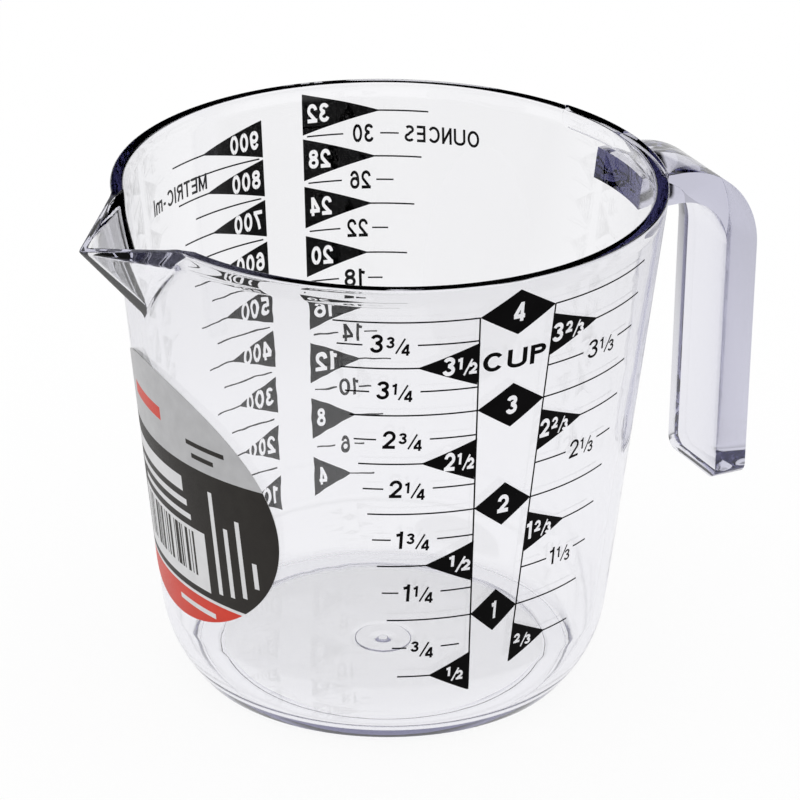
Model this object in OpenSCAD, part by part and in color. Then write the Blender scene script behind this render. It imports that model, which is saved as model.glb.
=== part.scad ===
// Clear measuring jug with a V-shaped spout, an open handle, printed scales and an oval sticker.
// Frame: origin on the cup's axis at the table, +X towards the handle, +Z up. Millimetres.

/* [Cup] */
// Outer radius of the rim
rim_r = 62; // [56:1:68]
// Height from the table to the rim
cup_h = 118; // [112:1:130]
// Lean of the side wall away from upright, in degrees
wall_lean = 5.96; // [5:0.02:7]
// Thickness of the side wall, measured square to it
wall_t = 2.4; // [1.8:0.1:3.5]
// Outer radius of the rounded lower corner
corner_r = 30.4; // [26:0.2:34]
// Distance from the rim in to the place where the rounded corner meets the foot
heel_inset = 17.4; // [15:0.1:18]
// Thickness of the floor
floor_t = 2.3; // [1.6:0.1:4]

/* [Foot] */
// Step from the rounded corner in to the standing ring
foot_step = 1.1; // [0.5:0.1:3]
// Height of the standing ring's outer wall
foot_h = 1.2; // [0.8:0.1:2]
// Width of the flat that the cup stands on
foot_flat_w = 5.3; // [3:0.1:8]
// Width of the slope between that flat and the hollow under the floor
foot_slope_w = 3; // [1:0.1:5]
// Depth of the hollow under the floor
hollow_d = 1.2; // [0.9:0.1:2]
// Radius of the raised disc at the moulding gate, under the floor
gate_r = 6.5; // [4:0.1:9]
// Height of that disc
gate_h = 0.3; // [0.2:0.1:0.4]
// Radius of the cut-off nub at the disc's centre
nub_r = 1.2; // [0.6:0.1:2]
// Height of that nub below the disc
nub_h = 0.4; // [0.2:0.1:0.4]

/* [Spout] */
// Distance from the rim to the spout's tip
spout_reach = 12.9; // [10:0.1:16]
// Angle from the spout's middle to each corner where it leaves the rim
spout_half_angle = 16.75; // [14:0.25:20]
// Depth of the tip below the rim
tip_drop = 4.2; // [2:0.1:6]
// Depth below the rim at which the keel meets the wall
keel_drop = 22; // [18:0.5:28]
// Thickness of the spout's walls
spout_wall = 2; // [1.5:0.1:2.6]

/* [Handle] */
// Width of the bar
handle_w = 22; // [16:0.5:28]
// Depth of the arm's top below the rim
arm_drop = 6.4; // [5.5:0.1:12]
// Thickness of the arm, top to bottom
arm_t = 7.4; // [5:0.1:10]
// Distance from the rim to the grip's outer face
handle_reach = 27.9; // [24:0.1:36]
// Thickness of the grip, from its inner to its outer face
grip_t = 8.2; // [6:0.1:11]
// Outer radius of the bend
bend_outer_r = 21.5; // [16:0.5:24]
// Inner radius of the bend
bend_inner_r = 13; // [8:0.5:14]
// Height of the grip's free end above the table
grip_end_z = 31; // [20:1:60]
// Radius of the grip's lower corners
grip_corner_r = 3; // [1:0.1:6]

/* [Rim pad] */
// Angle from the handle's middle to each end of the raised pad under the rim
pad_half_angle = 22; // [14:0.5:28]
// Depth of the pad's lower edge below the rim
pad_drop = 4.8; // [4:0.1:5.4]
// Height of the pad above the wall
pad_t = 0.55; // [0.3:0.05:1]
// Radius of the pad's lower corners
pad_corner_r = 3; // [1:0.1:4]

/* [Print] */
// Thickness of the ink
ink_t = 0.12; // [0.08:0.01:0.3]
// Width of the printed lines
line_w = 0.35; // [0.2:0.05:0.6]
// Height of the flags at the cup and ounce marks
flag_h = 10.2; // [7:0.1:10.4]
// Height of the flags at the metric marks
metric_flag_h = 9; // [6:0.1:9.4]
// Largest whole cup that is marked
cups = 4; // [2:1:4]
// Direction of the cup scale, in degrees from the handle
cup_scale_az = 270; // [262:1:278]
// Direction of the ounce scale's base line
ounce_scale_az = 83.2; // [80:0.2:85]
// Direction of the metric scale's base line
metric_scale_az = 93.2; // [92:0.2:96]
// Half width of the cup scale's column at the lowest mark
column_half_w = 5; // [4:0.1:7]
// Growth of that half width for each millimetre of height
column_taper = 0.0455; // [0.02:0.0005:0.06]
// Half height of the diamonds at the whole cups
diamond_half_h = 5.4; // [4:0.1:6]
// Arc length of the cup scale's flags at the lowest mark
cup_flag_len = 9.3; // [7:0.1:12]
// Growth of that length for each millimetre of height
cup_flag_growth = 0.0513; // [0.02:0.0001:0.1]
// Arc length of the ounce flags at the lowest mark
ounce_flag_len = 9.7; // [7:0.1:12]
// Growth of that length for each millimetre of height
ounce_flag_growth = 0.1045; // [0.05:0.0005:0.13]
// Arc length of the metric flags at the lowest mark
metric_flag_len = 9.6; // [7:0.1:12]
// Growth of that length for each millimetre of height
metric_flag_growth = 0.0975; // [0.05:0.0005:0.13]
// Arc distance that the cup scale's level lines reach at the lowest mark
line_reach = 21.2; // [18:0.2:24]
// Growth of that distance for each millimetre of height
line_reach_growth = 0.215; // [0.15:0.005:0.23]
// Clear height kept between the highest print and the rim
print_margin = 1; // [0.5:0.1:4]

/* [Sticker] */
// Thickness of the sticker
label_t = 0.2; // [0.1:0.05:0.4]
// Half width of the oval, along the wall
label_half_w = 37; // [28:0.5:38]
// Half height of the oval
label_half_h = 30.7; // [24:0.1:32]
// Height of the oval's middle above the table
label_z = 53.3; // [50:0.1:58]
// Height of the line between the silver and the black
silver_z = 64.5; // [60:0.5:74]
// Height of the white line between the black and the red
white_line_z = 31; // [28:0.5:32]
// Width of the white line
white_line_w = 0.8; // [0.4:0.1:1.6]
// Half width of the pale panel of bars
panel_half_w = 15.8; // [10:0.2:18]
// Height of the panel's lower edge above the table
panel_z = 33; // [32.5:0.1:36]
// Height of the panel
panel_h = 15.2; // [10:0.1:20]

/* [Hidden] */
$fn = 128;

clear = [0.80, 0.82, 0.93, 0.45];
ink = [0.06, 0.06, 0.07];

// A length longer than the whole jug, for cutting tools
far = 3 * cup_h;

// The rounded corner's centre lies one corner radius from the wall line and from the heel.
lean_out = [cos(wall_lean), -sin(wall_lean)];
wall_up = [sin(wall_lean), cos(wall_lean)];
heel_r = rim_r - heel_inset;
foot_r = heel_r - foot_step;
rim_to_heel = [rim_r, cup_h] - corner_r * lean_out - [heel_r, foot_h];
along = rim_to_heel * wall_up;
slant_len = along - sqrt(along * along - rim_to_heel * rim_to_heel + corner_r * corner_r);
corner_c = [rim_r, cup_h] - slant_len * wall_up - corner_r * lean_out;

floor_z = hollow_d + floor_t;
inner_corner_r = corner_r - wall_t;
tangent_z = corner_c[1] - corner_r * sin(wall_lean);

// Outer radius of the side at a height
function wall_r(z) = z > tangent_z
    ? rim_r - (cup_h - z) * tan(wall_lean)
    : corner_c[0] + sqrt(corner_r * corner_r - pow(z - corner_c[1], 2));

// The side of the solid cup, a half outline, grown outwards by one amount and upwards by another
module side_outline(grow = 0, above = 0) {
    r = corner_r + grow;
    joint = corner_c + r * lean_out;
    top = [rim_r + grow / cos(wall_lean) + above * tan(wall_lean), cup_h + above];
    polygon([[0, joint[1]], joint, top, [0, top[1]]]);
    intersection() {
        translate(corner_c) circle(r);
        translate([corner_c[0], foot_h]) square([far, joint[1] - foot_h]);
    }
    translate([0, foot_h]) square([corner_c[0], joint[1] - foot_h]);
}

module solid_cup(grow = 0, above = 0) {
    rotate_extrude() side_outline(grow, above);
}

// The hollow inside, a half outline
module inside_outline() {
    joint = corner_c + inner_corner_r * lean_out;
    top_r = rim_r - wall_t / cos(wall_lean);
    polygon([[0, joint[1]], joint, [top_r, cup_h], [top_r, cup_h + wall_t], [0, cup_h + wall_t]]);
    intersection() {
        translate(corner_c) circle(inner_corner_r);
        translate([corner_c[0], floor_z]) square([far, joint[1] - floor_z]);
    }
    translate([0, floor_z]) square([corner_c[0], joint[1] - floor_z]);
}

// The spout: a wedge in plan, cut below by a V-shaped trough that runs down the keel
tip_r = rim_r + spout_reach;
spout_corner = [rim_r * cos(spout_half_angle), rim_r * sin(spout_half_angle)];
plan_angle = atan2(spout_corner[1], tip_r - spout_corner[0]);
keel_angle = atan2(keel_drop - tip_drop, tip_r - wall_r(cup_h - keel_drop));
trough_angle = atan2(sin(plan_angle), cos(plan_angle) * sin(keel_angle));
top_angle = atan2(tip_drop, tip_r - spout_corner[0]);
spout_len = tip_r - spout_corner[0] + 3 * wall_t;

// The spout's outer form, or with an inset the channel inside it
module spout_form(inset = 0) {
    at_tip = inset / sin(plan_angle);
    translate([-tip_r, 0, cup_h - tip_drop]) intersection() {
        translate([0, 0, -far / 2]) linear_extrude(far) polygon([
            [at_tip, 0],
            [spout_len, (spout_len - at_tip) * tan(plan_angle)],
            [spout_len, -(spout_len - at_tip) * tan(plan_angle)]]);
        rotate([0, 90 + keel_angle, 0]) translate([-inset / sin(trough_angle), 0, -far / 2])
            linear_extrude(far) polygon([
                [0, 0],
                [-far * cos(trough_angle), far * sin(trough_angle)],
                [-far * cos(trough_angle), -far * sin(trough_angle)]]);
    }
}

module pour_spout() {
    color(clear) difference() {
        spout_form();
        spout_form(spout_wall);
        solid_cup(above = wall_t);
        translate([-tip_r, 0, cup_h - tip_drop]) rotate([0, -top_angle, 0])
            translate([-far / 2, -far / 2, 0]) cube([far, far, far]);
    }
}

module cup_body() {
    color(clear) difference() {
        union() {
            rotate_extrude() difference() {
                side_outline();
                inside_outline();
                square([foot_r - foot_flat_w - foot_slope_w, hollow_d]);
            }
            rotate_extrude() polygon([
                [foot_r - foot_flat_w, 0],
                [foot_r, 0],
                [foot_r, foot_h + floor_t / 2],
                [foot_r - foot_flat_w - foot_slope_w, foot_h + floor_t / 2],
                [foot_r - foot_flat_w - foot_slope_w, hollow_d]]);
            translate([0, 0, hollow_d - gate_h]) cylinder(r = gate_r, h = gate_h + floor_t / 2);
            translate([0, 0, hollow_d - gate_h - nub_h]) cylinder(r = nub_r, h = nub_h + floor_t / 2);
        }
        spout_form(spout_wall);
    }
}

// A block from the axis to x1 and from z0 to z1, with its far upper corner rounded
module bent_block(x1, z0, z1, r) {
    difference() {
        translate([0, z0]) square([x1, z1 - z0]);
        difference() {
            translate([x1 - r, z1 - r]) square([far, far]);
            translate([x1 - r, z1 - r]) circle(r);
        }
    }
}

module handle() {
    outer_x = rim_r + handle_reach;
    arm_top = cup_h - arm_drop;
    color(clear) difference() {
        intersection() {
            rotate([90, 0, 0]) translate([0, 0, -handle_w]) linear_extrude(2 * handle_w) difference() {
                bent_block(outer_x, grip_end_z, arm_top, bend_outer_r);
                bent_block(outer_x - grip_t, -far, arm_top - arm_t, bend_inner_r);
            }
            rotate([90, 0, 90]) linear_extrude(far) rounded_foot(handle_w, grip_end_z, cup_h, grip_corner_r);
        }
        solid_cup();
    }
}

// An upright rectangle centred on the axis, with its two lower corners rounded
module rounded_foot(w, z0, z1, r) {
    translate([-w / 2, z0 + r]) square([w, z1 - z0 - r]);
    translate([-w / 2 + r, z0]) square([w - 2 * r, 2 * r]);
    for (side = [-1, 1]) {
        translate([side * (w / 2 - r), z0 + r]) circle(r);
    }
}

// A skin of a thickness on the outside of the wall, where the children are drawn as seen from outside
module skin(az, t) {
    intersection() {
        difference() {
            solid_cup(t);
            solid_cup();
        }
        rotate([0, 0, az + 90]) rotate([90, 0, 0]) linear_extrude(far) children();
    }
}

module rim_pad() {
    color(clear) skin(0, pad_t) rounded_foot(2 * rim_r * sin(pad_half_angle), cup_h - pad_drop, cup_h, pad_corner_r);
}

// Volumes, from the inside of the cup. The rounded corner's part is an exact integral.
inner_joint = corner_c + inner_corner_r * lean_out;
function corner_sum(u) = let (p = inner_corner_r, c = corner_c[0])
    PI * (c * c * u + c * (u * sqrt(p * p - u * u) + p * p * asin(u / p) * PI / 180) + p * p * u - pow(u, 3) / 3);
function cone_sum(h) = let (r0 = inner_joint[0], r1 = r0 + h * tan(wall_lean))
    PI / 3 * h * (r0 * r0 + r0 * r1 + r1 * r1);
function volume_to(z) =
    corner_sum(min(z, inner_joint[1]) - corner_c[1]) - corner_sum(floor_z - corner_c[1])
    + cone_sum(max(0, z - inner_joint[1]));
function level(volume, low, high, steps = 26) = let (mid = (low + high) / 2)
    steps == 0 ? mid
    : volume_to(mid) > volume ? level(volume, low, mid, steps - 1) : level(volume, mid, high, steps - 1);

// Height of the liquid's surface, for a number of millilitres
mm3_per_ml = 1000;
ml_per_cup = 236.588;
ml_per_ounce = 29.5735;
function ml_z(ml) = level(mm3_per_ml * ml, floor_z, 2 * cup_h);
function cup_z(n) = ml_z(n * ml_per_cup);
function ounce_z(n) = ml_z(n * ml_per_ounce);

// Marks whose flags stay below the rim
function below_rim(z) = z + flag_h / 2 < cup_h - print_margin;
whole_marks = [for (n = [1 : cups]) if (below_rim(cup_z(n))) n];
half_marks = [for (n = [0.5 : 1 : cups - 0.5]) if (below_rim(cup_z(n))) n];
third_marks = [for (n = [0 : cups - 1]) if (below_rim(cup_z(n + 2 / 3))) n + 2 / 3];
quarter_marks = [for (n = [0.75 : 0.5 : cups - 0.25]) if (below_rim(cup_z(n))) n];
single_third_marks = [for (n = [1 : cups - 1]) if (below_rim(cup_z(n + 1 / 3))) n + 1 / 3];
ounce_flag_marks = [for (n = [4 : 4 : 8 * cups]) if (below_rim(ounce_z(n))) n];
ounce_line_marks = [for (n = [6 : 4 : 8 * cups - 2]) if (below_rim(ounce_z(n))) n];
metric_flag_marks = [for (n = [100 : 100 : 225 * cups]) if (below_rim(ml_z(n))) n];
metric_line_marks = [for (n = [150 : 100 : 225 * cups - 50]) if (below_rim(ml_z(n))) n];

// Arc lengths grow with height, because the artwork tapers downwards
low_z = cup_z(0.5);
function column_half(z) = column_half_w + column_taper * (z - low_z);
function cup_flag(z) = cup_flag_len + cup_flag_growth * (z - low_z);
function ounce_flag(z) = ounce_flag_len + ounce_flag_growth * (z - low_z);
function metric_flag(z) = metric_flag_len + metric_flag_growth * (z - low_z);
function reach(z) = line_reach + line_reach_growth * (z - low_z);

// Lines start this far inside a flag's tip, and where two flags' bases leave a thin gap, this far from it
tuck = 3 * line_w;
// At the smaller marks the numerals stand in a gap in the line, given as shares of the line's reach
quarter_gap = [0.53, 0.86];
third_gap = [0.5, 0.83];
// The same on the far side, given as shares of the nearest flag's length, with the line's end last
ounce_gap = [0.54, 1.02, 1.26];
far_line_share = 1.6;
metric_line_share = 1.28;

// A point at an arc distance along the wall and a height, drawn flat as seen from outside
function flat(arc, z) = [wall_r(z) * sin(arc / wall_r(z) * 180 / PI), z];

// A flag with its base at an arc distance and its tip at another, centred on a height
module flag(base, tip, z, h) {
    polygon([flat(base, z - h / 2), flat(tip, z), flat(base, z + h / 2)]);
}

module level_line(arc0, arc1, z) {
    x0 = flat(arc0, z)[0];
    x1 = flat(arc1, z)[0];
    translate([min(x0, x1), z - line_w / 2]) square([abs(x1 - x0), line_w]);
}

module column_line(side, z0) {
    z1 = cup_z(whole_marks[len(whole_marks) - 1]);
    polygon([for (p = [[z0, -1], [z0, 1], [z1, 1], [z1, -1]])
        flat(side * column_half(p[0]) + p[1] * line_w / 2, p[0])]);
}

module column_art() {
    for (n = whole_marks) {
        z = cup_z(n);
        polygon([flat(-column_half(z), z), [0, z - diamond_half_h], flat(column_half(z), z), [0, z + diamond_half_h]]);
    }
    column_line(-1, cup_z(0.5) - flag_h / 2);
    column_line(1, cup_z(2 / 3) - flag_h / 2);
}

module half_flag_art() {
    for (n = half_marks) {
        z = cup_z(n);
        flag(-column_half(z), -column_half(z) - cup_flag(z), z, flag_h);
    }
}

module third_flag_art() {
    for (n = third_marks) {
        z = cup_z(n);
        flag(column_half(z), column_half(z) + cup_flag(z), z, flag_h);
    }
}

module cup_line_art() {
    for (n = whole_marks, side = [-1, 1]) {
        level_line(side * column_half(cup_z(n)), side * reach(cup_z(n)), cup_z(n));
    }
    for (n = half_marks) {
        z = cup_z(n);
        level_line(tuck - column_half(z) - cup_flag(z), -reach(z), z);
    }
    for (n = third_marks) {
        z = cup_z(n);
        level_line(column_half(z) + cup_flag(z) - tuck, reach(z), z);
    }
    for (n = quarter_marks) {
        z = cup_z(n);
        level_line(-column_half(z), -quarter_gap[0] * reach(z), z);
        level_line(-quarter_gap[1] * reach(z), -reach(z), z);
    }
    for (n = single_third_marks) {
        z = cup_z(n);
        level_line(column_half(z), third_gap[0] * reach(z), z);
        level_line(third_gap[1] * reach(z), reach(z), z);
    }
}

module ounce_flag_art() {
    for (n = ounce_flag_marks) {
        flag(0, -ounce_flag(ounce_z(n)), ounce_z(n), flag_h);
    }
}

module ounce_line_art() {
    for (n = ounce_flag_marks) {
        z = ounce_z(n);
        level_line(tuck - ounce_flag(z), -far_line_share * ounce_flag(z), z);
    }
    for (n = ounce_line_marks) {
        z = ounce_z(n);
        level_line(-tuck, -ounce_gap[0] * ounce_flag(z), z);
        level_line(-ounce_gap[1] * ounce_flag(z), -ounce_gap[2] * ounce_flag(z), z);
    }
}

module metric_flag_art() {
    for (n = metric_flag_marks) {
        flag(0, metric_flag(ml_z(n)), ml_z(n), metric_flag_h);
    }
}

module metric_line_art() {
    for (n = metric_flag_marks) {
        z = ml_z(n);
        level_line(metric_flag(z) - tuck, far_line_share * metric_flag(z), z);
    }
    for (n = metric_line_marks) {
        z = ml_z(n);
        level_line(tuck, metric_line_share * metric_flag(z), z);
    }
}

module cup_scale_column() {
    color(ink) skin(cup_scale_az, ink_t) column_art();
}

module cup_scale_half_flags() {
    color(ink) skin(cup_scale_az, ink_t) difference() {
        half_flag_art();
        column_art();
    }
}

module cup_scale_third_flags() {
    color(ink) skin(cup_scale_az, ink_t) difference() {
        third_flag_art();
        column_art();
    }
}

module cup_scale_lines() {
    color(ink) skin(cup_scale_az, ink_t) difference() {
        cup_line_art();
        column_art();
        half_flag_art();
        third_flag_art();
    }
}

module ounce_scale_flags() {
    color(ink) skin(ounce_scale_az, ink_t) ounce_flag_art();
}

module ounce_scale_lines() {
    color(ink) skin(ounce_scale_az, ink_t) difference() {
        ounce_line_art();
        ounce_flag_art();
    }
}

module metric_scale_flags() {
    color(ink) skin(metric_scale_az, ink_t) metric_flag_art();
}

module metric_scale_lines() {
    color(ink) skin(metric_scale_az, ink_t) difference() {
        metric_line_art();
        metric_flag_art();
    }
}

// The sticker is an oval under the spout, printed in level fields
module oval_art() {
    polygon([for (a = [0 : 7.5 : 352.5]) flat(label_half_w * cos(a), label_z + label_half_h * sin(a))]);
}

module field_art(z0, z1) {
    intersection() {
        oval_art();
        translate([-far / 2, z0]) square([far, z1 - z0]);
    }
}

module panel_art() {
    x = flat(panel_half_w, panel_z)[0];
    translate([-x, panel_z]) square([2 * x, panel_h]);
}

module label_silver() {
    color([0.71, 0.71, 0.72]) skin(180, label_t) field_art(silver_z, cup_h);
}

module label_black() {
    color([0.16, 0.15, 0.14]) skin(180, label_t) difference() {
        field_art(white_line_z + white_line_w / 2, silver_z);
        panel_art();
    }
}

module label_red() {
    color([0.83, 0.19, 0.12]) skin(180, label_t) field_art(0, white_line_z - white_line_w / 2);
}

module label_white() {
    color([0.86, 0.86, 0.86]) skin(180, label_t) {
        field_art(white_line_z - white_line_w / 2, white_line_z + white_line_w / 2);
        panel_art();
    }
}

cup_body();
pour_spout();
handle();
rim_pad();
cup_scale_column();
cup_scale_half_flags();
cup_scale_third_flags();
cup_scale_lines();
ounce_scale_flags();
ounce_scale_lines();
metric_scale_flags();
metric_scale_lines();
label_silver();
label_black();
label_red();
label_white();
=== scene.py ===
"""The looks of a clear measuring jug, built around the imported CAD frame.

Lengths are millimetres until a mesh is made, and metres from there on, as in the light's distances.
Azimuth 0 is the handle, +X, and 180 is the spout. A place on the wall is an arc distance, to the right as
seen from outside, and a height.
"""

import math

import bmesh
import bpy
import numpy as np
from mathutils import Euler, Matrix, Vector
from mathutils.geometry import delaunay_2d_cdt


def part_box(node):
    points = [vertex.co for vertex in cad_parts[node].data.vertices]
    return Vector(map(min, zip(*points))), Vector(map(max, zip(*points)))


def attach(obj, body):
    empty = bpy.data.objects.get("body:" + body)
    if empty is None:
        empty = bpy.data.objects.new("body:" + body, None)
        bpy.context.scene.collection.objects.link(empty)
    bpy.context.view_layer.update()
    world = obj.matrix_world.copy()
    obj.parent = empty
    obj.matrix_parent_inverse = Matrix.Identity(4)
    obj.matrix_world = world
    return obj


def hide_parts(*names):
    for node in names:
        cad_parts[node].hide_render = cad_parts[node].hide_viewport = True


MM = 0.001

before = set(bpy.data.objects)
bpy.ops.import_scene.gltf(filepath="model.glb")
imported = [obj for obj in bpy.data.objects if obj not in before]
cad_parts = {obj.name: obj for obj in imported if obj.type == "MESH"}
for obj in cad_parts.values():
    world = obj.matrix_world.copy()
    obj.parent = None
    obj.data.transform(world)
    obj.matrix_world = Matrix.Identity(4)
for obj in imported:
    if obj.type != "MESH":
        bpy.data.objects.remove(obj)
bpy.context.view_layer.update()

# Sizes from the frame
RIM_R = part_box("cup_body")[1].y / MM
CUP_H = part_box("cup_body")[1].z / MM
TIP_R = -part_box("pour_spout")[0].x / MM
HANDLE_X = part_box("handle")[1].x / MM
HANDLE_HALF_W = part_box("handle")[1].y / MM
ARM_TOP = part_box("handle")[1].z / MM
GRIP_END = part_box("handle")[0].z / MM

# Cup
WALL_LEAN = math.radians(5.96)
WALL_T = 2.4
CORNER_R = 30.4
HEEL_R = 44.6
FOOT_R = 43.5
FOOT_H = 1.2
FOOT_FLAT_W = 5.3
FOOT_SLOPE_W = 1
HOLLOW_D = 1.8
FLOOR_Z = 4.1
FOOT_EDGE_R = 0.25
GATE_R = 6.5
GATE_H = 0.3
NUB_R = 1.2
NUB_H = 0.4
FLOOR_FILLET_R = 4
RIM_OUTER_EDGE_R = 0.45
RIM_INNER_EDGE_R = 0.4
RIM_BEAD_T = 0.5
RIM_BEAD_H = 4.5

# Spout
SPOUT_HALF_ANGLE = math.radians(16.75)
TIP_DROP = 4.2
KEEL_DROP = 22
SPOUT_WALL = 1.3
CHANNEL_HALF_ANGLE = math.radians(19.3)
CHANNEL_KEEL_WALL = 3.4
SPOUT_EDGE_R = 0.2
SPOUT_TOP_EDGE_R = 0.2
SPOUT_EDGE_FADE = math.radians(2)
SPOUT_BLEND = 1
CHANNEL_BLEND = 0.15
FOLD_BLEND = 0.15
TOP_BLEND = 0.12
SPOUT_SIDE_COS = 0.5

# Rim pad on the wall above the handle
PAD_HALF_ANGLE = math.radians(22)
PAD_DROP = 4.8
PAD_T = 0.5
PAD_CORNER_R = 3
PAD_EDGE_W = 0.35

# Handle
ARM_T = 7.4
GRIP_T = 8.2
BEND_OUTER_R = 21.5
BEND_INNER_R = 13
GRIP_CORNER_R = 3
HANDLE_EDGE_R = 0.85
ARM_SINK = 1.6
ARM_UNDER_SINK = 2.8
BEND_STEPS = 26

# Rows and columns of the moulding's skin. The close columns at a pad's end are counted from that end.
TOP_ROWS_Z = 92
TOP_ROW_STEP = 0.5
LOW_ROW_STEP = 2.6
SPOUT_COLUMNS = np.radians(np.linspace(160.5, 199.5, 131))
PAD_COLUMNS = np.radians(np.linspace(-3.2, 0.6, 22))
COLUMN_STEP_DEGREES = 1.25
COLUMN_CLEAR = math.radians(0.5)

# The side wall's rounded corner touches the wall's line and the heel
lean_out = np.array([math.cos(WALL_LEAN), -math.sin(WALL_LEAN)])
wall_up = np.array([math.sin(WALL_LEAN), math.cos(WALL_LEAN)])
rim_to_heel = np.array([RIM_R, CUP_H]) - CORNER_R * lean_out - np.array([HEEL_R, FOOT_H])
along = rim_to_heel @ wall_up
slant = along - math.sqrt(along**2 - rim_to_heel @ rim_to_heel + CORNER_R**2)
CORNER_C = np.array([RIM_R, CUP_H]) - slant * wall_up - CORNER_R * lean_out
TANGENT_Z = CORNER_C[1] - CORNER_R * math.sin(WALL_LEAN)
INNER_R = CORNER_R - WALL_T
INNER_TANGENT_Z = CORNER_C[1] - INNER_R * math.sin(WALL_LEAN)


def wall_r(z):
    """Outer radius of the round wall at a height."""
    z = np.asarray(z, float)
    cone = RIM_R - (CUP_H - z) * math.tan(WALL_LEAN)
    arc = CORNER_C[0] + np.sqrt(np.maximum(CORNER_R**2 - (z - CORNER_C[1]) ** 2, 0))
    return np.where(z > TANGENT_Z, cone, arc)


def inner_cone_r(z):
    """Inner radius of the round wall's straight part at a height."""
    return RIM_R - WALL_T / math.cos(WALL_LEAN) - (CUP_H - z) * math.tan(WALL_LEAN)


def smooth_max(a, b, width):
    """The larger of two values, with the crease between them rounded over a width."""
    h = np.maximum(width - np.abs(a - b), 0) / width
    return np.maximum(a, b) + h * h * width / 4


def smooth_min(a, b, width):
    return -smooth_max(-a, -b, width)


# The spout's faces. In plan its sides run straight from the tip, and below the fold they slope to a keel.
spout_corner = RIM_R * np.array([math.cos(SPOUT_HALF_ANGLE), math.sin(SPOUT_HALF_ANGLE)])
PLAN_ANGLE = math.atan2(spout_corner[1], TIP_R - spout_corner[0])
FOLD_Z = CUP_H - TIP_DROP
TOP_SLOPE = TIP_DROP / (TIP_R - spout_corner[0])


def plane_r(phi, z, normal, point):
    """Radius at which a plane and its mirror image are met, at an angle from the spout."""
    across = np.sqrt(np.sin(phi) ** 2 + (SPOUT_EDGE_R / TIP_R) ** 2)
    return (normal @ point - normal[2] * z) / (normal[0] * np.cos(phi) + normal[1] * across)


def plane_normal(a, b, c):
    """The normal of the plane through three points, away from the cup."""
    normal = np.cross(b - a, c - a)
    return normal / np.linalg.norm(normal) * np.sign(normal[0])


# Points of the spout's faces: along the spout, across it, and up
tip = np.array([TIP_R, 0, FOLD_Z])
keel_end = np.array([float(wall_r(CUP_H - KEEL_DROP)), 0, CUP_H - KEEL_DROP])
fold_end = np.array([*spout_corner, FOLD_Z])
SIDE_NORMAL = np.array([math.sin(PLAN_ANGLE), math.cos(PLAN_ANGLE), 0])
KEEL_NORMAL = plane_normal(tip, fold_end, keel_end)
tip_set_in = SPOUT_WALL / math.sin(PLAN_ANGLE)
channel_tip = np.array([TIP_R - tip_set_in, 0, FOLD_Z + TOP_SLOPE * tip_set_in])
channel_corner_r = RIM_R - WALL_T - RIM_BEAD_T
channel_corner = np.array([
    channel_corner_r * math.cos(CHANNEL_HALF_ANGLE), channel_corner_r * math.sin(CHANNEL_HALF_ANGLE), CUP_H,
])
keel_slope = (tip - keel_end) / np.linalg.norm(tip - keel_end)
channel_keel = keel_end + CHANNEL_KEEL_WALL * np.array([-keel_slope[2], 0, keel_slope[0]])
CHANNEL_NORMAL = plane_normal(channel_tip, channel_corner, channel_keel)


def pad_height(azimuth, z):
    """How far the pad under the rim stands proud of the wall."""
    arc = np.abs((azimuth + np.pi) % (2 * np.pi) - np.pi) * RIM_R
    half = RIM_R * PAD_HALF_ANGLE
    dx = np.maximum(arc - (half - PAD_CORNER_R), 0)
    dz = np.maximum((CUP_H - PAD_DROP + PAD_CORNER_R) - z, 0)
    inside = PAD_CORNER_R - np.hypot(dx, dz)
    t = np.clip(inside / PAD_EDGE_W + 0.5, 0, 1)
    return PAD_T * t * t * (3 - 2 * t)


def outer_r(azimuth, z):
    """Outer radius of the moulding, with its spout and pad, at an azimuth and a height."""
    phi = azimuth - np.pi
    faces = smooth_min(plane_r(phi, z, SIDE_NORMAL, tip), plane_r(phi, z, KEEL_NORMAL, tip), FOLD_BLEND)
    spout = np.where(np.cos(phi) > SPOUT_SIDE_COS, faces, 0)
    return smooth_max(wall_r(z) + pad_height(azimuth, z), spout, SPOUT_BLEND)


def inner_r(azimuth, z):
    """Inner radius of the moulding, with the bead under the rim and the spout's channel."""
    phi = azimuth - np.pi
    channel = np.where(np.cos(phi) > SPOUT_SIDE_COS, plane_r(phi, z, CHANNEL_NORMAL, channel_tip), 0)
    bead = np.clip((z - CUP_H + RIM_BEAD_H) / (RIM_BEAD_H - RIM_INNER_EDGE_R), 0, 1)
    bead = RIM_BEAD_T * bead * bead * (3 - 2 * bead)
    return smooth_max(inner_cone_r(z) - bead, channel, CHANNEL_BLEND)


def top_z(azimuth, r):
    """Height of the rim's top face, which slopes down to the spout's tip."""
    reach = -r * np.cos(azimuth)
    slope = CUP_H - TIP_DROP + (TIP_R - reach) * TOP_SLOPE
    return smooth_min(np.full_like(slope, CUP_H), slope, TOP_BLEND)


def columns():
    """Azimuths of the moulding's columns, closer where the spout and the pad's ends need them."""
    pad_ends = [side * (PAD_HALF_ANGLE + PAD_COLUMNS) % (2 * np.pi) for side in (-1, 1)]
    dense = [SPOUT_COLUMNS, *pad_ends]
    taken = [(group.min() - COLUMN_CLEAR, group.max() + COLUMN_CLEAR) for group in dense]
    rest = np.radians(np.arange(0, 360, COLUMN_STEP_DEGREES))
    rest = [a for a in rest if not any(low < a < high for low, high in taken)]
    return np.sort(np.concatenate([*dense, rest]))


def arc_points(centre, radius, start, end, count):
    """Points on an arc in the profile plane, from one angle to another."""
    t = np.linspace(start, end, count)
    return [(centre[0] + radius * math.cos(a), centre[1] + radius * math.sin(a)) for a in t]


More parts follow.
